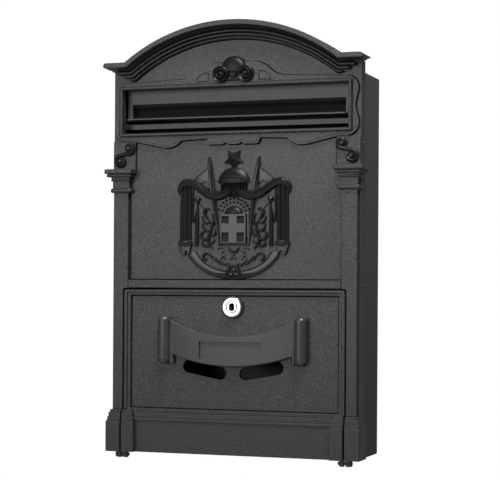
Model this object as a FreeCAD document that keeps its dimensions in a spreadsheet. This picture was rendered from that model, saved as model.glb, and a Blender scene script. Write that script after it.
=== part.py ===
import FreeCAD, Part
import math
import os
import Sketcher

# A letterbox that hangs on a wall: a cast front with a mail slot and a drop-down door, on a box of
# folded steel sheet. X runs to the right, Y towards the wall and Z up. The origin is the centre of
# the four wall holes, on the back face, so a distance "out" from the wall is -Y.
Vector = FreeCAD.Vector
doc = FreeCAD.newDocument("letterbox")
sheet = doc.addObject("Spreadsheet::Sheet", "dims")

DIMENSIONS = {
    # steel box
    "box_half": 122.9, "box_bottom": -170.0, "box_top": 190.0, "sheet_gauge": 1.0,
    "box_front": 66.9, "front_flange": 13.5, "seam_flange": 10.0, "flange_top": 132.0,
    "wall_hole_x": 160.0, "wall_hole_z": 240.0, "wall_hole_radius": 3.0,
    # plate, rim and cornice of the cast front
    "plate_half": 124.4, "plate_out": 70.0, "plate_gauge": 3.0, "rim_back": 57.0, "rim_wall": 1.5,
    "arch_radius": 178.4, "arch_top": 240.8, "tip_top": 204.8, "tip_half": 129.5, "tip_bar": 5.8,
    "cornice_out": 87.0, "cornice_depth": 16.4, "edge_round": 0.7,
    # mail slot and its raised border
    "slot_half": 113.5, "slot_bottom": 137.3, "slot_top": 179.3,
    "border_out": 74.0, "bead_out": 76.5, "bead_width": 3.2,
    # pilasters, capitals and plinths
    "pilaster_inner": 107.3, "pilaster_outer": 122.8, "pilaster_out": 75.0, "capital_base": 80.0,
    "rail_top": -4.0, "plinth_top": -140.5, "plinth_outer": 127.4, "plinth_inner": 98.2,
    "plinth_out": 81.5, "plinth_crown": -129.5,
    # door and its hinge
    "door_half": 111.2, "door_seam": 1.5, "corner_round": 2.6, "opening_top": -11.8, "door_out": 71.0,
    "door_gauge": 3.0, "border_width": 6.5, "border_front": 75.0, "field_bottom": -127.7,
    "skirt_top": -139.3, "skirt_out": 76.0, "door_rim_back": 63.0,
    "hinge_out": 74.0, "hinge_drop": 2.9, "pin_radius": 1.5, "running_gap": 0.06,
    "knuckle_radius": 3.1,
    "groove_width": 1.0, "groove_depth": 0.9,
    # lock
    "lock_height": -29.6, "lock_out": 75.6, "lock_face": 9.5, "lock_barrel": 7.0,
    "plug_radius": 5.2, "cam_reach": 27.0, "cam_gauge": 1.5,
    # flap
    "flap_half": 112.6, "flap_out": 63.5, "flap_height": 183.0, "flap_gauge": 1.6,
    "lip_half": 109.6, "lip_out": 73.5, "lip_bottom": 150.2,
    # banner
    "roll_centre": 68.8, "banner_out": 79.5, "banner_bulge": 4.4, "roll_radius": 6.0,
    "curl_radius": 2.8,
    "label_half": 31.8, "label_top": -62.4, "label_bottom": -78.6, "label_depth": 2.2,
}


class Size:
    """A driving dimension, or one worked out from several: its number and its sheet expression."""

    def __init__(self, number, text):
        self.number = number
        self.text = text

    def combine(self, other, sign, swap=False):
        first, second = self, as_size(other)
        if swap:
            first, second = second, first
        results = {
            "+": first.number + second.number,
            "-": first.number - second.number,
            "*": first.number * second.number,
        }
        return Size(results[sign], f"({first.text} {sign} {second.text})")

    def __add__(self, other):
        return self.combine(other, "+")

    def __radd__(self, other):
        return self.combine(other, "+", swap=True)

    def __sub__(self, other):
        return self.combine(other, "-")

    def __rsub__(self, other):
        return self.combine(other, "-", swap=True)

    def __mul__(self, other):
        return self.combine(other, "*")

    def __rmul__(self, other):
        return self.combine(other, "*", swap=True)

    def __neg__(self):
        return self.combine(-1.0, "*")


def as_size(value):
    """A plain number as a Size, so that both kinds can be given anywhere."""
    return value if isinstance(value, Size) else Size(float(value), f"{float(value):g}")


def fill_sheet():
    """Write the driving dimensions to the sheet, one row each, and return them as Sizes."""
    for row, (alias, number) in enumerate(DIMENSIONS.items(), start=1):
        sheet.set(f"A{row}", alias)
        sheet.set(f"B{row}", f"{number:g}")
        sheet.setAlias(f"B{row}", alias)
    doc.recompute()
    return {alias: Size(float(sheet.get(alias)), f"dims.{alias}") for alias in DIMENSIONS}


D = fill_sheet()
PLATE_BACK = D["plate_out"] - D["plate_gauge"]
OPENING_HALF = D["door_half"] + D["door_seam"]
HINGE_HEIGHT = D["box_bottom"] - D["hinge_drop"]
DOOR_BACK = D["door_out"] - D["door_gauge"]
DOOR_TOP = D["opening_top"] - D["door_seam"]
BOX_INSIDE = D["box_half"] - D["sheet_gauge"]
STRIP_INNER, STRIP_TOP = as_size(101.2), as_size(130.0)


def bind(target, prop, value):
    """Bind one property of an object to the sheet."""
    target.setExpression(prop, as_size(value).text)


# ---------------------------------------------------------------- primitives and booleans

def block(name, x, out, z, rounding=0.0):
    """A box from its ranges of X, distance out from the wall, and Z, with rounded edges."""
    solid = doc.addObject("Part::Box", name)
    bind(solid, "Length", as_size(x[1]) - x[0])
    bind(solid, "Width", as_size(out[1]) - out[0])
    bind(solid, "Height", as_size(z[1]) - z[0])
    bind(solid, "Placement.Base.x", x[0])
    bind(solid, "Placement.Base.y", -as_size(out[1]))
    bind(solid, "Placement.Base.z", z[0])
    return rounded(solid, rounding) if rounding else solid


def rounded(solid, radius, choose=None):
    """Round the chosen edges of a solid, or all of them."""
    doc.recompute()
    fillet = doc.addObject("Part::Fillet", f"{solid.Name}_rounded")
    fillet.Base = solid
    edges = enumerate(solid.Shape.Edges, start=1)
    fillet.Edges = [(index, radius, radius) for index, edge in edges if not choose or choose(edge)]
    return fillet


def at_front(out):
    """Chooses the edges that lie in the plane at one distance out from the wall."""
    level = -as_size(out).number

    def choose(edge):
        box = edge.BoundBox
        return abs(box.YMin - level) < 1e-4 and abs(box.YMax - level) < 1e-4
    return choose


def rod(name, axis, radius, start, length):
    """A cylinder from a point (X, out, Z), running along X or outwards from the wall."""
    solid = doc.addObject("Part::Cylinder", name)
    about = Vector(0, 1, 0) if axis == "X" else Vector(1, 0, 0)
    solid.Placement.Rotation = FreeCAD.Rotation(about, 90)
    bind(solid, "Radius", radius)
    bind(solid, "Height", length)
    bind(solid, "Placement.Base.x", start[0])
    bind(solid, "Placement.Base.y", -as_size(start[1]))
    bind(solid, "Placement.Base.z", start[2])
    return solid


def fuse(name, parts):
    union = doc.addObject("Part::MultiFuse", name)
    union.Shapes = parts
    return union


def cut(name, base, tools):
    """Take the tools out of a solid, and see that they removed something."""
    result = doc.addObject("Part::Cut", name)
    result.Base = base
    result.Tool = tools[0] if len(tools) == 1 else fuse(f"{name}_tools", tools)
    doc.recompute()
    if not result.Shape.Volume < result.Base.Shape.Volume - 1e-3:
        raise RuntimeError(f"{name} removed nothing")
    return result


def mirrored(name, source):
    """The same piece on the left-hand side."""
    copy = doc.addObject("Part::Mirroring", name)
    copy.Source = source
    copy.Normal = Vector(1, 0, 0)
    return copy


def both_sides(name, parts):
    """Right-hand parts and their mirror images."""
    right = fuse(f"{name}_right", parts) if len(parts) > 1 else parts[0]
    return [right, mirrored(f"{name}_left", right)]


def shaped(name, shape):
    """A shape that is worked out from the sheet's sizes in code."""
    feature = doc.addObject("Part::Feature", name)
    feature.Shape = shape
    feature.Placement = FreeCAD.Placement()
    return feature


def finished(label, source):
    """Give the last object of a piece the piece's own name."""
    source.Label = label
    pieces.append(source)
    return source


pieces = []


# ---------------------------------------------------------------- sketches and bodies

def draw(sketch, points):
    """Close an outline through points (a, b), or (a, b, radius) where the edge to the next point
    is an arc that bulges to the left of its direction, or to the right if the radius is negative.
    Every corner is held at its distances from the sketch's origin."""
    corners = [Vector(as_size(point[0]).number, as_size(point[1]).number, 0) for point in points]
    first = sketch.GeometryCount
    ends = []
    for index, point in enumerate(points):
        start, end = corners[index], corners[(index + 1) % len(points)]
        if len(point) == 2:
            sketch.addGeometry(Part.LineSegment(start, end), False)
        else:
            radius = as_size(point[2]).number
            chord = end - start
            left = Vector(-chord.y, chord.x, 0).normalize()
            reach = math.sqrt(max(radius ** 2 - (chord.Length / 2) ** 2, 0.0))
            rise = math.copysign(abs(radius) - reach, radius)
            sketch.addGeometry(Part.Arc(start, (start + end) / 2 + left * rise, end), False)
        forwards = (sketch.getPoint(first + index, 1) - start).Length < 1e-6
        ends.append((1, 2) if forwards else (2, 1))
    for index, point in enumerate(points):
        after = (index + 1) % len(points)
        sketch.addConstraint(Sketcher.Constraint(
            "Coincident", first + index, ends[index][1], first + after, ends[after][0]))
        for kind, value in (("DistanceX", point[0]), ("DistanceY", point[1])):
            held = sketch.addConstraint(Sketcher.Constraint(
                kind, -1, 1, first + index, ends[index][0], as_size(value).number))
            sketch.setExpression(f"Constraints[{held}]", as_size(value).text)


def circle(sketch, centre, radius):
    """A circle with its centre and radius held by the sheet."""
    at = Vector(as_size(centre[0]).number, as_size(centre[1]).number, 0)
    index = sketch.addGeometry(Part.Circle(at, Vector(0, 0, 1), as_size(radius).number), False)
    for kind, value in (("DistanceX", centre[0]), ("DistanceY", centre[1])):
        held = sketch.addConstraint(Sketcher.Constraint(kind, -1, 1, index, 3, as_size(value).number))
        sketch.setExpression(f"Constraints[{held}]", as_size(value).text)
    held = sketch.addConstraint(Sketcher.Constraint("Radius", index, as_size(radius).number))
    sketch.setExpression(f"Constraints[{held}]", as_size(radius).text)


def body(label):
    """An empty body whose label is the piece's name."""
    made = doc.addObject("PartDesign::Body", f"{label}_body")
    made.Label = label
    pieces.append(made)
    return made


def sketch_on(owner, role, level, outlines=(), circles=()):
    """A sketch of a body on one of its origin planes, moved along the plane's normal.
    XZ faces out from the wall (its level is a distance out), YZ faces right and XY up."""
    plane = next(item for item in owner.Origin.OriginFeatures if item.Role == f"{role}_Plane")
    made = owner.newObject("Sketcher::SketchObject", f"{owner.Name}_sketch")
    made.AttachmentSupport = [(plane, "")]
    made.MapMode = "FlatFace"
    bind(made, "AttachmentOffset.Base.z", level)
    for outline in outlines:
        draw(made, outline)
    for centre, radius in circles:
        circle(made, centre, radius)
    return made


def pad(owner, sketch, length):
    made = owner.newObject("PartDesign::Pad", f"{owner.Name}_pad")
    made.Profile = sketch
    bind(made, "Length", length)
    sketch.Visibility = False
    return made


def pocket(owner, sketch, depth):
    """Cut a sketch into a body, against the sketch's normal, and see that it took metal away."""
    doc.recompute()
    before = owner.Shape.Volume
    made = owner.newObject("PartDesign::Pocket", f"{owner.Name}_pocket")
    made.Profile = sketch
    bind(made, "Length", depth)
    doc.recompute()
    if not owner.Shape.Volume < before - 1e-3:
        raise RuntimeError(f"a pocket of {owner.Label} removed nothing")
    return made


def revolved(owner, outline):
    """Turn an outline in the XY plane, given as (radius, out) points, about the Y axis."""
    sketch = sketch_on(owner, "XY", 0, [[(radius, -as_size(out)) for radius, out in outline]])
    made = owner.newObject("PartDesign::Revolution", f"{owner.Name}_turned")
    made.Profile = sketch
    made.ReferenceAxis = (sketch, ["V_Axis"])
    made.Angle = 360
    return made


def bend_edges(owner, radius, choose):
    """Round the chosen edges of a body, as a folded sheet's bends are."""
    doc.recompute()
    feature = owner.Tip
    names = [f"Edge{index}" for index, edge in enumerate(feature.Shape.Edges, start=1) if choose(edge)]
    made = owner.newObject("PartDesign::Fillet", f"{owner.Name}_bend")
    made.Base = (feature, names)
    made.Radius = radius
    return made


def rectangle(a, b):
    return [(a[0], b[0]), (a[1], b[0]), (a[1], b[1]), (a[0], b[1])]


# ---------------------------------------------------------------- cast front: plate and cornice

ARCH_CENTRE = D["arch_top"].number - D["arch_radius"].number


def arch_corner(depth):
    """Where the arch meets the level tips, for a line that runs a depth inside the top edge."""
    radius = D["arch_radius"].number - depth
    level = D["tip_top"].number - depth
    return math.sqrt(radius ** 2 - (level - ARCH_CENTRE) ** 2), level


def front_face(edges_points):
    """A face in the XZ plane from a list of edges, each two points or three for an arc."""
    edges = []
    for points in edges_points:
        spots = [Vector(x, 0, z) for x, z in points]
        edges.append(Part.Arc(*spots).toShape() if len(spots) == 3 else Part.makeLine(*spots))
    return Part.Face(Part.Wire(Part.__sortEdges__(edges)))


def arched_slab(depth, half, bottom, back, front):
    """A slab with level shoulders and an arched top, a depth inside the cornice's top edge."""
    corner, level = arch_corner(depth)
    crown = D["arch_top"].number - depth
    face = front_face([
        ((-half, bottom), (-half, level)), ((-half, level), (-corner, level)),
        ((-corner, level), (0, crown), (corner, level)), ((corner, level), (half, level)),
        ((half, level), (half, bottom)), ((half, bottom), (-half, bottom)),
    ])
    face.translate(Vector(0, -back, 0))
    return face.extrude(Vector(0, -(front - back), 0))


def moulding(outline, arcs, half):
    """Run a moulding over the arch and out along the level tips, mitred where they meet. The
    outline's points are (depth below the top edge, distance out)."""
    sweep = math.degrees(math.asin(arch_corner(0)[0] / D["arch_radius"].number)) + 3
    reach = D["cornice_depth"].number + 8
    top, low = arch_corner(-8), arch_corner(reach)
    far, near = D["cornice_out"].number + 10, D["rim_back"].number - 10
    mitre = front_face([
        ((-top[0], top[1]), (0, top[1] + 60)), ((0, top[1] + 60), (top[0], top[1])),
        ((top[0], top[1]), (low[0], low[1])), ((low[0], low[1]), (-low[0], low[1])),
        ((-low[0], low[1]), (-top[0], top[1])),
    ])
    mitre.translate(Vector(0, -near, 0))
    mitre = mitre.extrude(Vector(0, near - far, 0))

    def section(x, top_height):
        edges = []
        for index, (depth, out) in enumerate(outline):
            next_depth, next_out = outline[(index + 1) % len(outline)]
            ends = [Vector(x, -out, top_height - depth), Vector(x, -next_out, top_height - next_depth)]
            if index in arcs:
                through = Vector(x, -arcs[index][1], top_height - arcs[index][0])
                edges.append(Part.Arc(ends[0], through, ends[1]).toShape())
            else:
                edges.append(Part.makeLine(*ends))
        return Part.Face(Part.Wire(edges))

    arch = section(0, D["arch_top"].number)
    arch.rotate(Vector(0, 0, ARCH_CENTRE), Vector(0, 1, 0), -sweep)
    arch = arch.revolve(Vector(0, 0, ARCH_CENTRE), Vector(0, 1, 0), 2 * sweep).common(mitre)
    tips = section(-half, D["tip_top"].number).extrude(Vector(2 * half, 0, 0)).cut(mitre)
    return arch.fuse(tips.Solids)


def cornice():
    """The cornice's members: fascia with a hollow under it, and three beads on a bed."""
    out = D["cornice_out"].number
    back = D["rim_back"].number
    plate = PLATE_BACK.number
    half = D["tip_half"].number
    fascia = moulding(
        [(0, back), (0, out - 0.9), (0.9, out), (4.2, out), (5.0, out - 0.8), (7.4, out - 11.4),
         (7.4, plate), (2.6, plate), (2.6, back)],
        {1: (0.26, out - 0.26), 3: (4.76, out - 0.24), 4: (5.0, out - 7.6)}, half)
    for side in (-1, 1):
        fascia = fascia.cut(round_end(side))
    beads = [
        moulding([(8.0, plate), (8.0, 76.6), (10.2, 76.6), (10.2, plate)], {1: (9.1, 78.2)},
                 half - 10.2),
        moulding([(10.9, plate), (10.9, 74.6), (13.5, 74.6), (13.5, plate)], {1: (12.2, 76.6)},
                 half - 15.9),
        moulding([(14.2, plate), (14.2, 72.4), (16.2, 72.4), (16.2, plate)], {1: (15.2, 74.0)},
                 half - 22.2),
        moulding([(7.0, plate), (7.0, 72.6), (14.0, 71.2), (14.0, plate)], {}, half - 16.5),
    ]
    return fascia.fuse(beads)


def round_end(side):
    """What is cut from a tip so that the part beyond the plate is a bar with a round end."""
    radius = D["tip_bar"].number / 2
    end, top = D["tip_half"].number, D["tip_top"].number
    start, middle, diagonal = end - radius, top - radius, radius * math.sqrt(0.5)
    halves = []
    for up in (-1, 1):
        inner = [] if up > 0 else [(D["plate_half"].number, middle - radius)]
        inner += [(start, middle + up * radius)]
        outer = [(end, middle), (end + 1, middle), (end + 1, middle + up * 12),
                 (inner[0][0], middle + up * 12), inner[0]]
        edges = list(zip(inner, inner[1:])) + list(zip(outer, outer[1:]))
        edges.append((inner[-1], (start + diagonal, middle + up * diagonal), outer[0]))
        face = front_face([[(side * x, z) for x, z in points] for points in edges])
        halves.append(face.extrude(Vector(0, -100, 0)))
    return halves


def border_face():
    """The outline of the raised border round the mail slot: level edges joined by swept curves,
    alike on both sides, with an ogee rising under the rosette and a small tab below."""
    ogee = [(20.5, 202.4), (27.5, 200.6), (33.5, 197.2), (39.0, 192.4), (44.5, 189.5), (52.0, 188.0)]
    shoulder = [(110.0, 185.2), (117.2, 183.6), (121.4, 178.6), (121.8, 170.6), (119.7, 162.0),
                (119.7, 154.0), (122.2, 145.6), (121.8, 137.4), (117.4, 132.3), (107.6, 130.3)]
    lobe = [(107.6, 130.3), (92.0, 127.6), (79.0, 124.6), (67.5, 122.9), (60.0, 124.6), (53.5, 129.6)]
    tab = [(53.5, 129.6), (27.0, 130.6), (24.4, 125.0), (11.0, 124.9), (8.2, 127.0), (5.0, 124.9),
           (0.0, 124.9)]

    def edges(side):
        def spot(point):
            return Vector(side * point[0], 0, point[1])
        made = [Part.makeLine(spot((0, 202.4)), spot(ogee[0])),
                Part.makeLine(spot(ogee[-1]), spot(shoulder[0]))]
        for points in (ogee, shoulder, lobe):
            curve = Part.BSplineCurve()
            curve.interpolate([spot(point) for point in points])
            made.append(curve.toShape())
        made += [Part.makeLine(spot(a), spot(b)) for a, b in zip(tab, tab[1:])]
        return made

    return Part.Face(Part.Wire(Part.__sortEdges__(edges(1) + edges(-1))))


def parallel_outline(distance):
    """The border's outline moved outwards by a distance, or inwards, in short straight lines."""
    corners = border_face().OuterWire.discretize(Deflection=0.06)
    if (corners[0] - corners[-1]).Length > 1e-6:
        corners.append(corners[0])
    return Part.Face(Part.makePolygon(corners)).makeOffset2D(distance, 0)


def slab(face, low, high):
    """An upright face made a slab between two distances out from the wall."""
    moved = face.copy()
    moved.translate(Vector(0, -low, 0))
    return moved.extrude(Vector(0, low - high, 0))


def slot_border():
    """The slot's raised border, with a shallow bead line parallel to its edge."""
    low, high = PLATE_BACK.number, D["border_out"].number
    return slab(border_face(), low, high - 0.6).fuse(slab(parallel_outline(-2.2), low, high))


def border_groove():
    """The sharp groove in the plate round the slot's border."""
    width, plate = D["groove_width"].number, D["plate_out"].number
    return slab(parallel_outline(width), plate - D["groove_depth"].number, plate + 0.1)


def plate_grooves():
    """Grooves in the plate at the foot of the border, the cornice, the rail and the pilasters."""
    width = D["groove_width"]
    out = (D["plate_out"] - D["groove_depth"], D["plate_out"] + 0.1)
    low, high = out[0].number, out[1].number
    arch = moulding([(16.3, low), (16.3, high), (17.2, high), (17.2, low)], {},
                    D["tip_half"].number - 23.4)
    inner, strip = D["pilaster_inner"], STRIP_INNER
    sides = both_sides("side_grooves", [
        block("pilaster_groove", (inner - width, inner), out, (D["rail_top"], D["capital_base"] + 1)),
        block("strip_groove", (strip - width, strip), out, (D["capital_base"] + 20, STRIP_TOP))])
    return sides + [
        block("rail_groove", (-inner, inner), out, (D["rail_top"], D["rail_top"] + width)),
        shaped("arch_groove", arch), shaped("border_groove", border_groove())]


def groove_round(name, x, z, level):
    """A groove just inside a rectangle of X and Z, sunk into a face at a distance out."""
    width, depth = D["groove_width"], D["groove_depth"]
    out = (as_size(level) - depth, as_size(level) + 0.1)
    return [block(f"{name}_low", x, out, (z[0], as_size(z[0]) + width)),
            block(f"{name}_high", x, out, (as_size(z[1]) - width, z[1])),
            block(f"{name}_left", (x[0], as_size(x[0]) + width), out, z),
            block(f"{name}_right", (as_size(x[1]) - width, x[1]), out, z)]


def capital_and_pilaster():
    """One pilaster with its capital, in courses from the necking up to the abacus."""
    back = D["rim_back"]
    base = D["capital_base"]
    courses = [
        # name, inner X, outer X, distance out, height above the base, thickness, rounding
        ("astragal", 103.6, 125.2, 78.2, 0.0, 4.4, 1.9),
        ("necking", 106.0, 123.4, 76.0, 3.6, 8.4, 0.4),
        ("neck_bead", 104.4, 124.8, 77.6, 11.2, 2.2, 0.9),
        ("hollow", 105.2, 124.4, 77.4, 13.0, 3.0, 0.4),
        ("ovolo", 102.2, 128.0, 81.4, 15.2, 2.4, 0.9),
        ("groove", 103.2, 127.0, 80.4, 17.2, 1.4, 0.2),
        ("abacus", 101.0, 129.5, 83.2, 18.2, 4.6, 1.2),
    ]
    parts = [
        block(name, (inner, outer), (back, out), (base + up, base + (up + thick)), rounding)
        for name, inner, outer, out, up, thick, rounding in courses
    ]
    parts.append(block("pilaster", (D["pilaster_inner"], D["pilaster_outer"]),
                       (PLATE_BACK, D["pilaster_out"]),
                       (D["plinth_crown"], base + 2), D["edge_round"].number))
    parts.append(block("console_strip", (STRIP_INNER, D["plate_half"]), (PLATE_BACK, 72.0),
                       (base + 20, STRIP_TOP), 0.4))
    return parts


def plinth(prefix, x_low, x_high, inner_step, outer_step, back):
    """A stepped plinth between two X limits; each step draws in on its free sides."""
    top, crown, out = D["plinth_top"], D["plinth_crown"], D["plinth_out"]
    steps = [(top, top + 0.9, 0.8), (top + 0.7, top + 4.2, 1.3), (top + 4.0, top + 8.4, 2.2),
             (top + 8.2, crown, 3.4)]
    parts = [block(f"{prefix}_block", (x_low, x_high), (back, out), (D["box_bottom"], top), 0.7)]
    for index, (low, high, draw_in) in enumerate(steps):
        span = (x_low + draw_in * inner_step, x_high - draw_in * outer_step)
        parts.append(block(f"{prefix}_step_{index}", span, (back, out - draw_in), (low, high), 0.35))
    return parts


def slot_bead():
    """The round bead that frames the mail slot."""
    width, half = D["bead_width"], D["slot_half"]
    bottom, top = D["slot_bottom"], D["slot_top"]
    sides = [
        ("bead_top", (-half - width, half + width), (top, top + width)),
        ("bead_bottom", (-half - width, half + width), (bottom - width, bottom)),
        ("bead_left", (-half - width, -half), (bottom - width, top + width)),
        ("bead_right", (half, half + width), (bottom - width, top + width)),
    ]
    return [block(name, x, (D["plate_out"], D["bead_out"]), z, 1.3) for name, x, z in sides]


def knuckle(name, low, high):
    """A hinge knuckle below the bottom edge, with the web that it hangs from."""
    centre = (low, D["hinge_out"], HINGE_HEIGHT)
    return [
        rod(f"{name}_barrel", "X", D["knuckle_radius"], centre, as_size(high) - low),
        block(f"{name}_web", (low, high), (D["hinge_out"] - 3.2, D["hinge_out"] + 3.2),
              (HINGE_HEIGHT, D["box_bottom"] + 1.5)),
    ]


def upright_block(name, half, top):
    """A block through the front, from below the box up to a top with two rounded corners."""
    whole = block(name, (-half, half), (50, 90), (D["box_bottom"] - 10, top))
    height = as_size(top).number

    def upper_corner(edge):
        box = edge.BoundBox
        return box.YLength > 1 and abs(box.ZMin - height) < 1e-4
    return rounded(whole, D["corner_round"].number, upper_corner)


def front_casting():
    """The cast front: everything that stands still on the front except the loose ornaments."""
    half = D["plate_half"].number
    bottom = D["box_bottom"].number
    rim = D["rim_wall"].number
    back, front = D["rim_back"].number, D["plate_out"].number
    shell = cut("plate_grooved", shaped("plate_and_rim", arched_slab(5.0, half, bottom, back, front)),
                plate_grooves())
    cavity = shaped("hollow_back", arched_slab(5.0 + rim, half - rim, bottom - 1, back - 20,
                                               PLATE_BACK.number))
    rail = block("rail", (-D["pilaster_inner"], D["pilaster_inner"]),
                 (PLATE_BACK, D["pilaster_out"]), (D["opening_top"], D["rail_top"]),
                 D["edge_round"].number)
    trim = both_sides("trim", capital_and_pilaster() + plinth(
        "plinth", OPENING_HALF, D["plinth_outer"], 0, 1, D["rim_back"]))
    reach = D["bead_width"] + D["groove_width"]
    border = cut("border_grooved", shaped("slot_border", slot_border()), groove_round(
        "bead_groove", (-D["slot_half"] - reach, D["slot_half"] + reach),
        (D["slot_bottom"] - reach, D["slot_top"] + reach), D["border_out"]))
    outside = fuse("front_outside", [shell, shaped("cornice", cornice()), border, rail] + trim
                   + slot_bead())
    doorway = upright_block("doorway", OPENING_HALF, D["opening_top"])
    slot = block("slot_cut", (-D["slot_half"], D["slot_half"]), (50, 90),
                 (D["slot_bottom"], D["slot_top"]))
    rivet_holes = [rod(f"rivet_hole_{index}", "X", RIVET_RADIUS, (-140, RIVET_OUT, height), 280)
                   for index, height in enumerate(RIVET_HEIGHTS)]
    carved = cut("front_carved", outside, [cavity, doorway, slot] + rivet_holes)
    ear = block("flap_ear", (D["flap_half"] + 1.6, D["flap_half"] + 4.6),
                (D["flap_out"] - 5.5, PLATE_BACK), (D["flap_height"] - 7, D["flap_height"] + 5.5))
    lug = knuckle("lug", OPENING_HALF + 0.4, OPENING_HALF + 4.4)
    whole = fuse("front_whole", [carved] + both_sides("held", [ear] + lug))
    screw_holes = [rod(f"pilot_{index}", "out", SCREW_RADIUS, (x, PLATE_BACK - 1, height), 5.1)
                   for index, (x, height) in enumerate(SCREW_PLACES)]
    rod_bore = rod("flap_rod_bore", "X", D["pin_radius"], (-140, D["flap_out"], D["flap_height"]), 280)
    pin_bore = rod("lug_bore", "X", D["pin_radius"], (-140, D["hinge_out"], HINGE_HEIGHT), 280)
    finished("front_casting", cut("front_drilled", whole, screw_holes + [rod_bore, pin_bore]))


RIVET_RADIUS = 1.0
RIVET_OUT = 62.0
RIVET_HEIGHTS = (123.6, -9.5)
SCREW_RADIUS = 1.5
SCREW_PLACES = [(side * 117.2, height) for side in (-1, 1) for height in (104.0, -20.0, -152.0)]


# ---------------------------------------------------------------- ornaments on the cast front

def crest_relief():
    """The crest's plain relief: a draped mantle with a round lower edge, a domed cap and a shield."""
    level = D["plate_out"].number
    mantle = front_face([
        ((-50, 88), (-47, 91)), ((-47, 91), (-34, 90)), ((-34, 90), (-20, 77), (0, 84)),
        ((0, 84), (20, 77), (34, 90)), ((34, 90), (47, 91)), ((47, 91), (50, 88)),
        ((50, 88), (52, 20)), ((52, 20), (0, -2.4), (-52, 20)), ((-52, 20), (-50, 88)),
    ])
    mantle.translate(Vector(0, -level, 0))
    mantle = mantle.extrude(Vector(0, -2.2, 0))
    shield = Part.makeBox(27, 4.4, 58, Vector(-13.5, -level - 4.4, 29.5))
    dome = Part.makeSphere(16, Vector(0, 0, 0), Vector(0, 0, 1), 0, 90, 360)
    dome = dome.cut(Part.makeBox(40, 40, 40, Vector(-20, 0, -1)))
    dome.transformShape(FreeCAD.Placement(Vector(0, -level, 85), FreeCAD.Rotation()).toMatrix())
    squash = FreeCAD.Matrix()
    squash.A22 = 0.3
    squash.A24 = -level * 0.7
    dome = dome.transformGeometry(squash)
    finished("crest_relief", shaped("crest", mantle.fuse([shield, dome]).removeSplitter()))


def slot_rosette():
    """Two round volutes and a low dome, joined by a link, over the middle of the mail slot."""
    front = 79.0
    disc = rounded(rod("volute_disc", "out", 6.4, (12.3, D["border_out"], 191.0), front - 74.0), 1.2,
                   at_front(front))
    dome = rounded(rod("rosette_dome", "out", 12.8, (0, D["plate_out"], 195.2), front - 70.0), 4.0,
                   at_front(front))
    foot = block("dome_foot", (-14, 14), (60, 90), (175, 195.2))
    seat = block("dome_seat", (-30, 30), (60, D["border_out"]), (170, 202.4))
    link = block("rosette_link", (-6.5, 6.5), (D["border_out"], 77.0), (187.0, 195.6))
    parts = both_sides("volute", [disc]) + [cut("dome_cut", dome, [foot, seat]), link]
    finished("slot_rosette", fuse("rosette", parts))


def console_scrolls():
    """An S-shaped scroll stands on the strip above each capital."""
    upper, lower = (106.4, 122.6), (115.4, 110.9)
    front = 78.0

    def scroll():
        discs = [rod("scroll_upper", "out", 4.6, (upper[0], 72.0, upper[1]), front - 72.0),
                 rod("scroll_lower", "out", 5.1, (lower[0], 72.0, lower[1]), front - 72.0)]
        slope = front_face([
            ((upper[0] - 3.6, upper[1] - 2.6), (upper[0] + 3.6, upper[1] + 2.6)),
            ((upper[0] + 3.6, upper[1] + 2.6), (lower[0] + 4.0, lower[1] + 3.0)),
            ((lower[0] + 4.0, lower[1] + 3.0), (lower[0] - 4.0, lower[1] - 3.0)),
            ((lower[0] - 4.0, lower[1] - 3.0), (upper[0] - 3.6, upper[1] - 2.6)),
        ])
        slope.translate(Vector(0, -72, 0))
        band = shaped("scroll_band", slope.extrude(Vector(0, -(front - 74), 0)))
        return fuse("scroll", discs + [band])

    right = scroll()
    finished("console_scroll_left", mirrored("scroll_mirror", right))
    finished("console_scroll_right", right)


# ---------------------------------------------------------------- steel box

def body_shell():
    """One folded sheet: the back and both sides, turned in at the front to hold the casting."""
    shell = body("body_shell")
    gauge, half, inside = D["sheet_gauge"], D["box_half"], BOX_INSIDE
    front = D["box_front"]
    lip = half - D["front_flange"]
    outline = [
        (-half, 0), (half, 0), (half, -front), (lip, -front), (lip, gauge - front),
        (inside, gauge - front), (inside, -gauge), (-inside, -gauge), (-inside, gauge - front),
        (-lip, gauge - front), (-lip, -front), (-half, -front),
    ]
    pad(shell, sketch_on(shell, "XY", D["box_bottom"], [outline]), D["box_top"] - D["box_bottom"])
    holes = [((side_x * (D["wall_hole_x"] * 0.5), side_z * (D["wall_hole_z"] * 0.5)),
              D["wall_hole_radius"]) for side_x in (-1, 1) for side_z in (-1, 1)]
    pocket(shell, sketch_on(shell, "XZ", gauge, circles=holes), gauge * 2)
    notches = [rectangle((low, high), (D["flange_top"], D["box_top"] + 1))
               for low, high in ((-inside, -lip + 1), (lip - 1, inside))]
    pocket(shell, sketch_on(shell, "XZ", front + 1, notches), gauge * 3)
    screws = [((x, height), SCREW_RADIUS) for x, height in SCREW_PLACES]
    pocket(shell, sketch_on(shell, "XZ", front + 1, circles=screws), gauge * 3)
    rivets = [((-RIVET_OUT, height), RIVET_RADIUS) for height in RIVET_HEIGHTS]
    pocket(shell, sketch_on(shell, "YZ", half + 1, circles=rivets), 2 * (half + 1))
    corner = D["box_half"].number

    def bend(edge):
        box = edge.BoundBox
        upright = box.ZLength > 300
        return upright and abs(abs(box.Center.x) - corner) < 1e-3 and abs(box.Center.y) < 1e-3
    bend_edges(shell, 1.6, bend)


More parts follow.
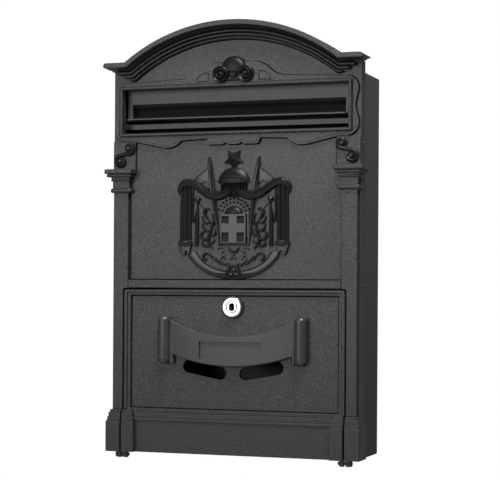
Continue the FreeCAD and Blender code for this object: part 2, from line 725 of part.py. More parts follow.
def end_panel(label, level, flange):
    """The roof or the floor: a flat sheet with a flange turned along the back, spot welded."""
    panel = body(label)
    gauge = D["sheet_gauge"]
    back, front = -gauge, -(D["box_front"] - gauge - 0.1)
    if flange > 0:
        outline = [(back, level), (back, level + D["seam_flange"]),
                   (back - gauge, level + D["seam_flange"]), (back - gauge, level + gauge),
                   (front, level + gauge), (front, level)]
    else:
        outline = [(back, level), (front, level), (front, level - gauge),
                   (back - gauge, level - gauge), (back - gauge, level - D["seam_flange"]),
                   (back, level - D["seam_flange"])]
    pad(panel, sketch_on(panel, "YZ", -BOX_INSIDE, [outline]), BOX_INSIDE * 2)


def mail_guide():
    """A folded strip under the slot: its front edge shows as a bar, and its top slopes inwards."""
    guide = body("mail_guide")
    outline = [(-63.0, 142.3), (-63.0, 147.0), (-62.4, 147.6), (-40.0, 139.6), (-40.0, 138.5),
               (-61.9, 146.3), (-61.9, 142.3)]
    pad(guide, sketch_on(guide, "YZ", -BOX_INSIDE, [outline]), BOX_INSIDE * 2)
    tab = [(-60.0, 128.0), (-42.0, 128.0), (-42.0, 139.6), (-60.0, 146.0)]
    pad(guide, sketch_on(guide, "YZ", -BOX_INSIDE, [tab]), D["sheet_gauge"])
    pad(guide, sketch_on(guide, "YZ", BOX_INSIDE - D["sheet_gauge"], [tab]), D["sheet_gauge"])


def side_rivets():
    """Two rivets a side hold the casting's rim to the box."""
    parts = []
    for index, height in enumerate(RIVET_HEIGHTS):
        skin = D["plate_half"]
        shank = rod(f"rivet_shank_{index}", "X", RIVET_RADIUS, (BOX_INSIDE - 0.9, RIVET_OUT, height),
                    skin - BOX_INSIDE + 1.7)
        head = rounded(rod(f"rivet_head_{index}", "X", 1.9, (skin, RIVET_OUT, height), 0.9), 0.7,
                       lambda edge: edge.BoundBox.XMin > 125)
        tail = rod(f"rivet_tail_{index}", "X", 1.7, (BOX_INSIDE - 0.9, RIVET_OUT, height), 0.9)
        parts += both_sides(f"rivet_{index}", [shank, head, tail])
    compound("side_rivets", parts)


def pan_screw(name, x, height, seat, length):
    """A pan-head screw that points out from the wall; its head bears on a face at the seat."""
    shank = rod(f"{name}_shank", "out", SCREW_RADIUS, (x, seat - 0.5, height), length)
    head = rod(f"{name}_head", "out", 2.8, (x, seat - 2.0, height), 2.0)
    return fuse(name, [shank, rounded(head, 0.6, at_front(seat - 2.0))])


def compound(label, parts):
    """Several loose copies of one piece, kept together as one node."""
    group = doc.addObject("Part::Compound", f"{label}_group")
    group.Links = parts
    finished(label, group)


def fascia_screws():
    """Six pan-head screws from inside the box into the back of the casting."""
    seat = D["box_front"] - D["sheet_gauge"]
    compound("fascia_screws", [pan_screw(f"screw_{index}", x, height, seat, 5.4)
                               for index, (x, height) in enumerate(SCREW_PLACES)])


# ---------------------------------------------------------------- flap

def slot_flap():
    """The flap: a leaf with a rolled top, a finger trough pressed in and a lip along the bottom."""
    flap = body("slot_flap")
    half, lip_half = D["flap_half"], D["lip_half"]
    centre, height = D["flap_out"], D["flap_height"]
    front, back = -(centre + 0.8), -(centre - 0.8)
    bottom, wall = D["lip_bottom"], D["flap_gauge"]
    deep = back + 9.0
    pad(flap, sketch_on(flap, "YZ", -half, [rectangle((front, back), (bottom, height))]), half * 2)
    top_edge, soffit = 166.5, 163.0
    mouth = rectangle((front - 1, back + 1), (bottom + wall, top_edge))
    pocket(flap, sketch_on(flap, "YZ", lip_half - wall, [mouth]), (lip_half - wall) * 2)
    channel = [
        (front, top_edge), (deep - wall, soffit - wall), (deep - wall, bottom + 6.4),
        (deep - wall - 4.6, bottom + wall), (-D["lip_out"], bottom + wall),
        (-D["lip_out"], bottom), (deep - 5.6, bottom), (deep, bottom + 5.6), (deep, soffit),
        (back, top_edge + 1.6), (front, top_edge + 1.6),
    ]
    pad(flap, sketch_on(flap, "YZ", -lip_half, [channel]), lip_half * 2)
    cheek = [(front, top_edge), (front, bottom), (deep - 5.6, bottom), (deep, bottom + 5.6),
             (deep, soffit), (back, top_edge)]
    pad(flap, sketch_on(flap, "YZ", -lip_half, [cheek]), wall)
    pad(flap, sketch_on(flap, "YZ", lip_half - wall, [cheek]), wall)
    barrel = [((-centre, height), 2.9)]
    pad(flap, sketch_on(flap, "YZ", -half, circles=barrel), half * 2)
    bore = [((-centre, height), D["pin_radius"] + D["running_gap"])]
    pocket(flap, sketch_on(flap, "YZ", half + 1, circles=bore), half * 2 + 2)
    lip_front = -D["lip_out"].number

    def lip_edge(edge):
        box = edge.BoundBox
        return box.XLength > 200 and abs(box.YMin - lip_front) < 1e-3 and box.ZMin < 153
    bend_edges(flap, 0.6, lip_edge)


def flap_rod():
    """The flap's hinge rod, through the casting's ears, and the clip on each of its ends."""
    length = D["flap_half"] + 6.6
    finished("flap_hinge_rod", rod("rod_body", "X", D["pin_radius"],
                                   (-length, D["flap_out"], D["flap_height"]), length * 2))
    start = D["flap_half"] + 4.8
    ring = rod("clip_disc", "X", 3.0, (start, D["flap_out"], D["flap_height"]), 0.7)
    hole = rod("clip_hole", "X", D["pin_radius"], (start - 1, D["flap_out"], D["flap_height"]), 3)
    compound("rod_clips", both_sides("clip", [cut("clip_ring", ring, [hole])]))


# ---------------------------------------------------------------- door

def viewing_slot_tool(side):
    """One viewing slot: a round-ended slot that tilts up towards the side of the door."""
    inner, outer, radius = Vector(side * 12.8, 0, -92.6), Vector(side * 44.6, 0, -86.6), 6.2
    along = (outer - inner).normalize()
    across = Vector(-along.z, 0, along.x) * radius
    points = [inner + across, outer + across, outer + along * radius, outer - across,
              inner - across, inner - along * radius]
    edges = [Part.makeLine(points[0], points[1]),
             Part.Arc(points[1], points[2], points[3]).toShape(),
             Part.makeLine(points[3], points[4]),
             Part.Arc(points[4], points[5], points[0]).toShape()]
    face = Part.Face(Part.Wire(edges))
    face.translate(Vector(0, -50, 0))
    return shaped(f"viewing_slot_{'right' if side > 0 else 'left'}", face.extrude(Vector(0, -50, 0)))


def door_casting():
    """The door: a field inside a stepped border, a moulded rail, a skirt and half of each plinth."""
    half, back, out = D["door_half"], DOOR_BACK, D["door_out"]
    bottom, field_bottom = D["box_bottom"], D["field_bottom"]
    border, front = D["border_width"], D["border_front"]
    soft = D["edge_round"].number
    parts = [cut("door_field", block("door_plate", (-half, half), (back, out), (bottom, DOOR_TOP)),
                 groove_round("field_groove", (border - half, half - border),
                              (field_bottom, DOOR_TOP - 5.4), out))]
    parts += both_sides("border", [
        block("border_side", (half - border * 0.5, half), (back, front),
              (D["plinth_crown"], DOOR_TOP), soft),
        block("border_step", (half - border, half - 2), (back, front - 1.6),
              (field_bottom - 1, DOOR_TOP - 1.5), soft)])
    parts.append(block("border_top", (-half, half), (back, front), (DOOR_TOP - 2.8, DOOR_TOP), soft))
    parts.append(block("border_top_step", (2 - half, half - 2), (back, front - 1.6),
                       (DOOR_TOP - 5.4, DOOR_TOP - 1.5), soft))
    rails = [(4.0, 0.0, 73.8), (9.2, 3.8, 75.6), (11.8, 9.0, 77.4)]
    parts += [block(f"rail_{index}", (-half + 1, half - 1), (back, reach),
                    (field_bottom - low, field_bottom - high), 0.6)
              for index, (low, high, reach) in enumerate(rails)]
    parts.append(block("skirt", (-half + 1, half - 1), (back, D["skirt_out"]),
                       (bottom, D["skirt_top"] + 0.5), 0.5))
    parts += both_sides("door_plinth", plinth("inner_plinth", D["plinth_inner"], half, 1, 0, back))
    rim = (D["door_rim_back"], back)
    parts += both_sides("door_rim", [block("rim_side", (104.0, 106.5), rim, (-160, -22))])
    parts.append(block("rim_bottom", (-106.5, 106.5), rim, (-160, -157.5)))
    parts += both_sides("door_knuckle", knuckle("leaf", half - 4.2, half - 0.3))
    tools = [viewing_slot_tool(side) for side in (-1, 1)]
    tools.append(rod("lock_hole", "out", D["lock_barrel"], (0, 50, D["lock_height"]), 40))
    tools.append(rod("leaf_bore", "X", D["pin_radius"] + D["running_gap"],
                     (-140, D["hinge_out"], HINGE_HEIGHT), 280))
    tools += [rod(f"banner_hole_{index}", "out", SCREW_RADIUS, (x, 60, BANNER_SCREW_HEIGHT), 14)
              for index, x in enumerate(BANNER_SCREWS)]
    outline = doc.addObject("Part::Common", "door_outline")
    outline.Base = fuse("door_raised", parts)
    outline.Tool = upright_block("door_corners", half, DOOR_TOP)
    finished("door_casting", cut("door_cut", outline, tools))


BANNER_SCREW_HEIGHT = -61.0
BANNER_SCREWS = (-68.8, 68.8)


def nameplate_banner():
    """The nameplate: a hanging ribbon that swells forward in the middle, rolled at both ends."""
    centre, roll = D["roll_centre"].number, D["roll_radius"].number
    back, front = D["door_out"].number, D["banner_out"].number
    bulge, curl = D["banner_bulge"].number, D["curl_radius"].number
    ribbon = front_face([
        ((-centre, -38.2), (0, -57.4), (centre, -38.2)), ((centre, -38.2), (centre, -72.0)),
        ((centre, -72.0), (0, -85.8), (-centre, -72.0)), ((-centre, -72.0), (-centre, -38.2)),
    ])
    ribbon.translate(Vector(0, -back, 0))
    ribbon = ribbon.extrude(Vector(0, back - front, 0))
    radius = (centre ** 2 + bulge ** 2) / (2 * bulge)

    def swell(depth):
        return Part.makeCylinder(radius - depth, 80, Vector(0, radius - front, -100))
    recess = Part.makeBox(2 * D["label_half"].number, 8, (D["label_top"] - D["label_bottom"]).number,
                          Vector(-D["label_half"].number, -front - 2, D["label_bottom"].number))
    ribbon = ribbon.common(swell(0))
    rim = [edge for edge in ribbon.Edges
           if edge.BoundBox.YMax < -back - 1 and edge.BoundBox.XLength > centre]
    whole = ribbon.makeFillet(1.0, rim).cut(recess.cut(swell(D["label_depth"].number)))
    low, high = -83.8, -38.2
    for side in (-1, 1):
        ends = [(centre, roll, back + roll - 1.4, high, 4.6),
                (centre - roll - 1.2, curl, back + curl - 0.4, low + 20, 1.0)]
        for x, size, out, top, soft in ends:
            bar = Part.makeCylinder(size, top - low, Vector(side * x, -out, low))
            bar = bar.makeFillet(soft, [edge for edge in bar.Edges if edge.BoundBox.ZLength < 1e-6])
            whole = whole.fuse(bar.cut(Part.makeBox(200, 20, 200, Vector(-100, -back, -150))))
    for x in BANNER_SCREWS:
        pilot = Part.makeCylinder(SCREW_RADIUS, 4.5, Vector(x, -back, BANNER_SCREW_HEIGHT),
                                  Vector(0, -1, 0))
        whole = whole.cut(pilot)
    finished("nameplate_banner", shaped("banner", whole.removeSplitter()))


def banner_screws():
    """Two screws from the inside of the door into the banner's rolls."""
    compound("banner_screws", [pan_screw(f"banner_screw_{index}", x, BANNER_SCREW_HEIGHT, DOOR_BACK, 7.0)
                               for index, x in enumerate(BANNER_SCREWS)])


def hinge_pins():
    """A headed pin joins the lug and the door's knuckle at each bottom corner."""
    start = D["door_half"] - 6.0
    end = OPENING_HALF + 4.4
    shank = rod("pin_shank", "X", D["pin_radius"], (start, D["hinge_out"], HINGE_HEIGHT), end - start + 0.5)
    head = rounded(rod("pin_head", "X", 2.9, (end, D["hinge_out"], HINGE_HEIGHT), 1.8), 1.2,
                   lambda edge: edge.BoundBox.XMin > end.number + 1)
    right = fuse("pin_right", [shank, head])
    finished("hinge_pin_left", mirrored("pin_left", right))
    finished("hinge_pin_right", right)


# ---------------------------------------------------------------- cam lock

def turned_piece(label, outline):
    """A turned part of the lock, on the lock's own axis."""
    piece = body(label)
    revolved(piece, outline)
    bind(piece, "Placement.Base.z", D["lock_height"])
    return piece


def cam_lock():
    """A cam lock: ring, housing and nut are fixed to the door, and plug, cam and screw turn."""
    out, face = D["lock_out"], D["lock_face"]
    barrel, plug = D["lock_barrel"], D["plug_radius"]
    bore = plug + D["running_gap"]
    seat = D["door_out"]
    turned_piece("lock_bezel", [(barrel, seat), (10.8, seat), (10.8, seat + 2.5), (10.2, seat + 3.2),
                                (face + 0.1, seat + 3.2), (face + 0.1, seat + 2.0),
                                (barrel, seat + 2.0)])
    turned_piece("lock_housing", [
        (bore, 65.6), (barrel, 65.6), (barrel, seat + 2.0), (face, seat + 2.0), (face, out - 0.7),
        (face - 0.7, out), (bore + 0.4, out), (bore, out - 0.4)])
    turned = turned_piece("lock_plug", [
        (0, 65.5), (plug, 65.5), (plug, out - 0.6), (plug - 0.4, out - 0.2), (0, out - 0.2)])
    shank = sketch_on(turned, "XZ", 63.9, [rectangle((-2.5, 2.5), (-2.5, 2.5))])
    pad(turned, shank, 1.8)
    dust_well = [(2.7, -1.3), (2.7, 1.3, -2.71), (-2.7, 1.3), (-2.7, -1.3, -2.71)]
    pocket(turned, sketch_on(turned, "XZ", out, [dust_well]), 2.2)
    pocket(turned, sketch_on(turned, "XZ", out, [rectangle((-0.8, 0.8), (-3.1, 3.1))]), 7.0)
    nut = body("lock_nut")
    hexagon = [(10.2 * math.cos(math.radians(60 * side)), 10.2 * math.sin(math.radians(60 * side)))
               for side in range(6)]
    pad(nut, sketch_on(nut, "XZ", 66.1, [hexagon], [((0, 0), barrel)]), DOOR_BACK - 66.1)
    bind(nut, "Placement.Base.z", D["lock_height"])
    cam = body("lock_cam")
    tongue = [(0, -6.0), (D["cam_reach"] - 4, -5.0), (D["cam_reach"], -1.5), (D["cam_reach"], 5.0),
              (0, 6.0, -6.01)]
    cam_level = as_size(63.9)
    pad(cam, sketch_on(cam, "XZ", cam_level, [tongue]), D["cam_gauge"])
    pocket(cam, sketch_on(cam, "XZ", cam_level + 3, [rectangle((-2.5, 2.5), (-2.5, 2.5))]), 6)
    bind(cam, "Placement.Base.z", D["lock_height"])
    turned_piece("cam_screw", [(0, 61.9), (3.4, 62.4), (3.8, 63.0), (3.8, 63.9), (0, 63.9)])


# ---------------------------------------------------------------- assembly

def check_pieces():
    """Stop if any object of the document failed, or any piece has no sound solid."""
    doc.recompute()
    bad = [item.Label for item in doc.Objects if {"Invalid", "Error"} & set(item.State)]
    if bad:
        raise RuntimeError(f"failed objects: {bad}")
    for piece in pieces:
        shape = piece.Shape
        if shape.isNull() or not shape.isValid() or not shape.Solids or shape.Volume <= 0:
            raise RuntimeError(f"{piece.Label} has no sound solid")


front_casting()
crest_relief()
slot_rosette()
console_scrolls()
body_shell()
end_panel("roof_panel", D["box_top"], -1)
end_panel("floor_panel", D["box_bottom"], 1)
mail_guide()
side_rivets()
fascia_screws()
slot_flap()
flap_rod()
door_casting()
nameplate_banner()
banner_screws()
hinge_pins()
cam_lock()
check_pieces()

os.makedirs("parts", exist_ok=True)
for piece in pieces:
    piece.Shape.exportStep(f"parts/{piece.Label}.step")
    print(f"{piece.Label}: {len(piece.Shape.Solids)} solid(s), {piece.Shape.Volume / 1000:.2f} cm3")
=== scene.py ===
import math

import bmesh
import bpy
from mathutils import Matrix, Vector


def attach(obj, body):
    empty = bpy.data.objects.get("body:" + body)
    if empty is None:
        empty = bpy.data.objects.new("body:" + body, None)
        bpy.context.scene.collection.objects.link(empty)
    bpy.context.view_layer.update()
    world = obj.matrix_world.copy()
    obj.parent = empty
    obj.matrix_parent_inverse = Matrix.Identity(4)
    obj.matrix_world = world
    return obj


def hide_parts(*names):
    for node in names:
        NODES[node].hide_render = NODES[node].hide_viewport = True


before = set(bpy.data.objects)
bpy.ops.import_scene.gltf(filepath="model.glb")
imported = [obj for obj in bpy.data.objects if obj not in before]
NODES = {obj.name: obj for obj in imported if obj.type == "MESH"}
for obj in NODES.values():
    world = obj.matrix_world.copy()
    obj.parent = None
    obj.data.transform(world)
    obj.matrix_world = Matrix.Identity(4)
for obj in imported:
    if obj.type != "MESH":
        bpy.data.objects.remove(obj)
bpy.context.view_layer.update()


# Studio. The box hangs in front of a surround that is seen white, but lights it only dimly. A
# strong soft panel hangs above it to the right, and a weaker one stands in front to the left.
camera_data = bpy.data.cameras.new("camera")
camera_data.sensor_width = 36.0
camera_data.lens = 113.34
camera_data.shift_y = 0.1031
camera_data.clip_end = 50.0
camera = bpy.data.objects.new("camera", camera_data)
bpy.context.scene.collection.objects.link(camera)
swing = Matrix.Rotation(math.radians(19.57), 4, "Z") @ Matrix.Rotation(math.radians(90), 4, "X")
roll = Matrix.Rotation(math.radians(0.35), 4, "Z")
camera.matrix_world = Matrix.Translation((0.5146, -1.4712, -0.01475)) @ swing @ roll
bpy.context.scene.camera = camera


def soft_panel(name, place, aim, size, watts):
    """A square area light at a place, turned towards a point."""
    data = bpy.data.lights.new(name, "AREA")
    data.size = size
    data.energy = watts
    panel = bpy.data.objects.new(name, data)
    bpy.context.scene.collection.objects.link(panel)
    panel.location = place
    panel.rotation_euler = (Vector(aim) - Vector(place)).to_track_quat("-Z", "Y").to_euler()


soft_panel("overhead", (0.45, -0.70, 1.35), (0, 0, 0.05), 0.6, 36.0)
soft_panel("front_fill", (-0.44, -1.50, 0.32), (0, 0, 0), 0.85, 7.5)
surround = bpy.data.worlds.new("surround")
surround.use_nodes = True
sky = surround.node_tree
bright, dim = sky.nodes["Background"], sky.nodes.new("ShaderNodeBackground")
bright.inputs["Color"].default_value = dim.inputs["Color"].default_value = (1, 1, 1, 1)
bright.inputs["Strength"].default_value = 1.0
dim.inputs["Strength"].default_value = 0.16
seen, mix = sky.nodes.new("ShaderNodeLightPath"), sky.nodes.new("ShaderNodeMixShader")
sky.links.new(seen.outputs["Is Camera Ray"], mix.inputs[0])
sky.links.new(dim.outputs[0], mix.inputs[1])
sky.links.new(bright.outputs[0], mix.inputs[2])
sky.links.new(mix.outputs[0], sky.nodes["World Output"].inputs["Surface"])
bpy.context.scene.world = surround
bpy.context.scene.view_settings.view_transform = "Standard"


# Cast front: aluminium, sand cast, fettled and powder coated black. The coat is fine and sandy to
# the touch and rubbed a little brighter on the proud parts. The grooves round its raised borders
# are coloured near black and made rougher, as painted shade.
class Tone:
    """A shader socket that sums and products can be written with."""

    def __init__(self, finish, socket):
        self.finish = finish
        self.socket = socket

    def math(self, operation, first, second):
        return self.finish.node("ShaderNodeMath", {"operation": operation}, {0: first, 1: second})

    def __add__(self, other):
        return self.math("ADD", self, other)

    def __radd__(self, other):
        return self.math("ADD", other, self)

    def __sub__(self, other):
        return self.math("SUBTRACT", self, other)

    def __rsub__(self, other):
        return self.math("SUBTRACT", other, self)

    def __mul__(self, other):
        return self.math("MULTIPLY", self, other)

    def __rmul__(self, other):
        return self.math("MULTIPLY", other, self)


class Finish:
    """A material with one Principled shader, whose other nodes are added one call at a time."""

    def __init__(self, name, **constants):
        self.material = bpy.data.materials.new(name)
        self.material.use_nodes = True
        self.tree = self.material.node_tree
        self.shader = self.tree.nodes["Principled BSDF"]
        for socket, value in constants.items():
            self.shader.inputs[socket.replace("_", " ")].default_value = value

    def node(self, kind, settings=None, inputs=None, output=0):
        """A node of a kind with its settings and its inputs, as the tone of one output."""
        made = self.tree.nodes.new(kind)
        for key, value in (settings or {}).items():
            setattr(made, key, value)
        for key, value in (inputs or {}).items():
            if isinstance(value, Tone):
                self.tree.links.new(value.socket, made.inputs[key])
            else:
                made.inputs[key].default_value = value
        return Tone(self, made.outputs[output])

    def place(self):
        return self.node("ShaderNodeTexCoord", output="Object")

    def along(self, axis):
        """The distance from the origin along one axis, in metres."""
        return self.node("ShaderNodeSeparateXYZ", {}, {"Vector": self.place()}, output=axis)

    def noise(self, size, detail=3.0, roughness=0.55):
        """Noise between 0 and 1, with features of about a size in metres."""
        return self.node("ShaderNodeTexNoise", {}, {
            "Vector": self.place(), "Scale": 1.0 / size, "Detail": detail,
            "Roughness": roughness})

    def ramp(self, value, start, end):
        """0 up to the start and 1 from the end on, whichever of them is the greater."""
        return self.node("ShaderNodeMapRange", {"clamp": True}, {
            "Value": value, "From Min": start, "From Max": end})

    def blend(self, mask, first, second):
        """The first colour where the mask is 0, and the second where it is 1."""
        return self.node("ShaderNodeMix", {"data_type": "RGBA"}, {0: mask, 6: first, 7: second},
                         output=2)

    def bump(self, height, distance, strength):
        return self.node("ShaderNodeBump", {}, {
            "Height": height, "Distance": distance, "Strength": strength})

    def feed(self, **links):
        """Link tones to the shader's sockets, and give the finished material."""
        for socket, tone in links.items():
            self.tree.links.new(tone.socket, self.shader.inputs[socket.replace("_", " ")])
        return self.material


def grey(level):
    """A neutral colour with a breath of blue."""
    return (level, level, level * 1.03, 1.0)


cast = Finish("cast_black", Metallic=0.0, Specular_IOR_Level=0.5)
sand = cast.noise(0.0011, 2.0, 0.6)
lumps = cast.noise(0.006, 3.0)
patches = cast.noise(0.07, 2.0)
fleck = cast.ramp(sand, 0.50, 0.70)
speck = cast.ramp(cast.noise(0.0014, 1.0), 0.44, 0.30)
rim, door_top, door_step, groove_mouth, groove_bed = 0.123, -0.013, 0.001, -0.0697, -0.0692
within_rim = cast.ramp(cast.along("X") * cast.along("X"), (rim + 0.0005) ** 2, (rim - 0.0005) ** 2)
on_door = cast.ramp(cast.along("Z"), door_top + 0.0002, door_top - 0.0002)
# Painted shade: the grooves round the raised borders, on front and door, are coloured near black.
groove_shade = within_rim * cast.ramp(cast.along("Y") + door_step * on_door, groove_mouth, groove_bed)
cast_colour = cast.blend(fleck * 0.55, grey(0.018), grey(0.090))
cast_colour = cast.blend(patches * 0.35, cast_colour, grey(0.024))
cast_colour = cast.blend(speck * 0.7, cast_colour, grey(0.004))
cast_colour = cast.blend(groove_shade, cast_colour, grey(0.002))
cast_black = cast.feed(
    Base_Color=cast_colour,
    Roughness=0.33 + 0.10 * patches - 0.06 * fleck + 0.14 * speck + 0.5 * groove_shade,
    Normal=cast.bump(sand * 0.8 + lumps * 0.5, 0.00026, 0.8))


def clad(piece, material):
    """Give a piece one finish all over."""
    if piece.material_slots:
        for material_slot in piece.material_slots:
            material_slot.material = material
    else:
        piece.data.materials.append(material)


clad(NODES["front_casting"], cast_black)


# Ornaments: the same coat, but laid on the finest details of the pattern, which were burnished
# before casting, so it flows out smooth and dark with small bright glints. The sunk quarters of
# the shield are coloured near black and made dead flat, as painted shade, and the domes, beads
# and star are touched up by brush.
fine = Finish("relief_black", Metallic=0.0, Specular_IOR_Level=0.5)
flow = fine.noise(0.004, 3.0)
quarter_side, quarter_bed = 0.0118, -0.0732
quarter_foot, quarter_top = 0.0318, 0.0571
# Painted shade: the shield's sunk quarters are coloured near black and made rougher.
quarter_shade = fine.ramp(fine.along("X") * fine.along("X"), (quarter_side + 0.0002) ** 2,
                     (quarter_side - 0.0002) ** 2)
quarter_shade = quarter_shade * fine.ramp(fine.along("Y"), quarter_bed - 0.0003, quarter_bed + 0.0003)
quarter_shade = quarter_shade * fine.ramp(fine.along("Z"), quarter_foot - 0.0003, quarter_foot + 0.0002)
quarter_shade = quarter_shade * fine.ramp(fine.along("Z"), quarter_top + 0.0003, quarter_top - 0.0002)
relief_black = fine.feed(
    Base_Color=fine.blend(quarter_shade, fine.blend(flow, grey(0.005), grey(0.013)), grey(0.001)),
    Roughness=0.20 + 0.10 * flow + 0.50 * quarter_shade,
    Normal=fine.bump(flow, 0.00012, 0.6))
touched_up = Finish("brushed_black", Metallic=0.0, Specular_IOR_Level=0.2)
daubs = touched_up.noise(0.003)
brushed_black = touched_up.feed(
    Base_Color=touched_up.blend(daubs, grey(0.004), grey(0.010)),
    Roughness=0.30 + 0.20 * daubs)


# Console scrolls: an S of rolled leaf stands on the strip above each capital, cast with the front.
# Its thick band thins out as it winds in round a button at both ends.
MM = 0.001  # a millimetre in metres


def clear_selection():
    bpy.ops.object.select_all(action="DESELECT")


def rolled_bar(name, points, thickness):
    """A round bar through smooth points (X, Z, out), with a radius at each, in millimetres.

    Out is the distance from the wall: the plate's face is at 70, and the slot's border at 74.
    """
    clear_selection()
    bpy.ops.curve.primitive_bezier_curve_add()
    bar = bpy.context.object
    bar.name = name
    line = bar.data
    line.dimensions = "3D"
    line.bevel_depth = MM
    line.bevel_resolution = 2
    line.use_fill_caps = True
    line.resolution_u = 5
    spline = line.splines[0]
    spline.bezier_points.add(len(points) - 2)
    for knot, (x, z, out), radius in zip(spline.bezier_points, points, thickness):
        knot.co = (x * MM, -out * MM, z * MM)
        knot.handle_left_type = knot.handle_right_type = "AUTO"
        knot.radius = radius
    bpy.ops.object.convert(target="MESH")
    return bpy.context.object


def turned_boss(name, x, z, profile, sides=28):
    """A boss raised from the front in steps, each a (radius, out) in millimetres."""
    clear_selection()
    radius, out = profile[0]
    bpy.ops.mesh.primitive_circle_add(vertices=sides, radius=radius * MM, fill_type="NGON",
                                      location=(x * MM, -out * MM, z * MM),
                                      rotation=(math.pi / 2, 0, 0))
    boss = bpy.context.object
    boss.name = name
    bpy.ops.object.transform_apply()
    bpy.ops.object.mode_set(mode="EDIT")
    bpy.ops.mesh.select_all(action="SELECT")
    for next_radius, next_out in profile[1:]:
        bpy.ops.mesh.extrude_region_move(
            TRANSFORM_OT_translate={"value": (0, (out - next_out) * MM, 0)})
        grow = next_radius / radius
        bpy.ops.transform.resize(value=(grow, grow, grow),
                                 center_override=(x * MM, -next_out * MM, z * MM))
        radius, out = next_radius, next_out
    bpy.ops.mesh.select_all(action="SELECT")
    bpy.ops.mesh.normals_make_consistent(inside=False)
    bpy.ops.object.mode_set(mode="OBJECT")
    return boss


def joined(name, parts, crease=38):
    """Join parts into one piece, smooth but for its sharper edges, with the ornaments' finish."""
    clear_selection()
    for part in parts:
        part.select_set(True)
    bpy.context.view_layer.objects.active = parts[0]
    bpy.ops.object.join()
    piece = bpy.context.object
    piece.name = name
    piece.data.name = name
    bpy.ops.object.shade_smooth_by_angle(angle=math.radians(crease))
    clad(piece, relief_black)
    return piece


def winding(centre, radii, angles, out, side=1):
    """Points round a centre, from the first radius and angle to the last, one each 45 degrees."""
    steps = max(2, round(abs(angles[1] - angles[0]) / 45))
    points = []
    for step in range(steps + 1):
        share = step / steps
        angle = math.radians(angles[0] + share * (angles[1] - angles[0]))
        radius = radii[0] + share * (radii[1] - radii[0])
        points.append((side * (centre[0] + radius * math.cos(angle)),
                       centre[1] + radius * math.sin(angle), out))
    return points


def copied(piece, moves):
    """Copies of a piece, each with its own mesh, moved by (X, out, Z) in millimetres."""
    copies = []
    for x, out, z in moves:
        clear_selection()
        piece.select_set(True)
        bpy.context.view_layer.objects.active = piece
        bpy.ops.object.duplicate()
        bpy.context.object.location = (x * MM, -out * MM, z * MM)
        bpy.ops.object.transform_apply()
        copies.append(bpy.context.object)
    return copies


button_profile = [(2.5, 71.5), (2.5, 76.0), (2.1, 76.8), (1.1, 77.2)]
web_profile = [(4.6, 71.5), (4.6, 72.9), (4.2, 73.2)]
for side, hand in ((-1, "left"), (1, "right")):
    upper, lower, band_out = (-107.5, 123.0), (-116.4, 111.0), 74.2
    path = winding(upper, (3.0, 4.6), (200, -90), band_out, -side)
    path.append((side * 113.0, 117.4, band_out))
    path += winding(lower, (5.2, 3.2), (140, 400), band_out, -side)
    girth = [0.9, 1.2, 1.5, 2.0, 2.5, 2.6, 2.3, 1.9]
    girth += [1.9] * (len(path) - len(girth) - 4) + [2.3, 2.4, 1.9, 1.1]
    scroll_parts = [rolled_bar("scroll_band", path, girth)]
    for part_name, profile in (("button", button_profile), ("web", web_profile)):
        turned = turned_boss(part_name, -side * upper[0], upper[1], profile)
        scroll_parts += [turned] + copied(turned, [
            (-side * (lower[0] - upper[0]), 0, lower[1] - upper[1])])
    scroll = joined(f"scroll_{hand}", scroll_parts)
    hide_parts(f"console_scroll_{hand}")
    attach(scroll, "housing")


# Rosette: two dished volutes and a low dome stand over the middle of the mail slot, joined by a
# square link on a little ledge. They are cast with the front and stand proud of its border.
def bead_row(name, places, radius, foot=70.6, sides=12):
    """Equal round beads at places (X, Z), each standing half out of the metal.

    The foot is how far out their middles are. The first bead is modelled, and copied to the others.
    """
    (x, z), others = places[0], places[1:]
    steps = [(radius * math.cos(math.radians(a)), foot + radius * math.sin(math.radians(a)))
             for a in (0, 25, 48, 68, 84)]
    first = turned_boss(name, x, z, [(radius, foot - 0.6)] + steps, sides)
    return [first] + copied(first, [(other_x - x, 0, other_z - z) for other_x, other_z in others])


volute, volute_height = 12.6, 191.0
dish = turned_boss("dish", -volute, volute_height, [
    (7.8, 73.0), (8.0, 76.4), (7.7, 77.6), (7.1, 78.0), (6.4, 77.4), (4.6, 75.4), (2.4, 75.0)], 40)
rosette_parts = [dish] + copied(dish, [(2 * volute, 0, 0)])
rosette_parts += bead_row("eye", [(-volute, volute_height), (volute, volute_height)], 2.2, 76.4, 14)
for side in (-1, 1):
    curl = winding((-volute, volute_height), (5.6, 1.6), (20, 420), 76.4, -side)
    rosette_parts.append(rolled_bar("curl", curl, [1.1] * 4 + [1.3] * (len(curl) - 6) + [0.9, 0.6]))


def half_dome(name, z, profile, sides, sill):
    """A boss on the middle line, cut off level at a sill height in millimetres."""
    made = turned_boss(name, 0, z, profile, sides)
    bpy.ops.object.mode_set(mode="EDIT")
    bpy.ops.mesh.select_all(action="SELECT")
    bpy.ops.mesh.bisect(plane_co=(0, 0, sill * MM), plane_no=(0, 0, -1), clear_outer=True,
                        use_fill=True)
    bpy.ops.object.mode_set(mode="OBJECT")
    return made


rosette_parts.append(half_dome("rosette_dome", 195.2, [
    (13.0, 69.5), (13.0, 73.0), (12.3, 75.0), (10.8, 76.4), (8.4, 77.4), (5.2, 78.0), (2.0, 78.2)],
    48, 193.5))


def softened_block(name, x, out, z, rounding):
    """A block from its ranges of X, distance out and Z in millimetres, with rounded edges."""
    clear_selection()
    middle = [(low + high) / 2 * MM for low, high in (x, out, z)]
    bpy.ops.mesh.primitive_cube_add(size=1, location=(middle[0], -middle[1], middle[2]))
    made = bpy.context.object
    made.name = name
    made.scale = [(high - low) * MM for low, high in (x, out, z)]
    bpy.ops.object.transform_apply()
    bpy.ops.object.mode_set(mode="EDIT")
    bpy.ops.mesh.select_all(action="SELECT")
    bpy.ops.mesh.bevel(offset=rounding * MM, segments=2, affect="EDGES")
    bpy.ops.object.mode_set(mode="OBJECT")
    return made


